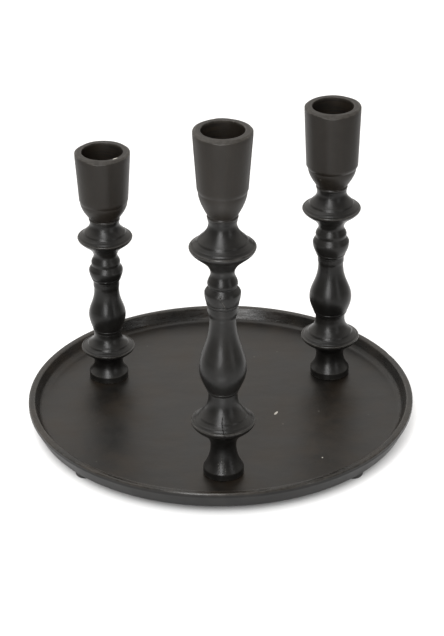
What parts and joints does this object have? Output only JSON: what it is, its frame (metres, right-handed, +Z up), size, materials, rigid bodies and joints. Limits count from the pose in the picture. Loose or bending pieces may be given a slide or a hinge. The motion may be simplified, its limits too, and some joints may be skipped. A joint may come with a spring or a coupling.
{
  "type": "tabletop candelabra",
  "caption": "Round shallow tray on pads carrying turned-profile candlesticks of different heights, each with an open socket for a dinner candle.",
  "frame": {"origin": "centre of the plane that the four pads stand on, below the tray's centre", "axes": "+Z up along the candle sockets; front towards -Y, where the tallest candlestick stands; +X to the viewer's right"},
  "size_m": [0.22, 0.22, 0.2144],
  "materials": {
    "black_casting": "satin",
    "zinc_steel": "satin",
    "rubber_pad": "matte"
  },
  "bodies": {
    "root": {"tray": "black_casting", "pad_1": "rubber_pad", "pad_2": "rubber_pad", "pad_3": "rubber_pad", "pad_4": "rubber_pad", "stick_short": "black_casting", "washer_short": "zinc_steel", "screw_short": "zinc_steel", "stick_tall": "black_casting", "washer_tall": "zinc_steel", "screw_tall": "zinc_steel", "stick_medium": "black_casting", "washer_medium": "zinc_steel", "screw_medium": "zinc_steel"}
  },
  "joints": []
}
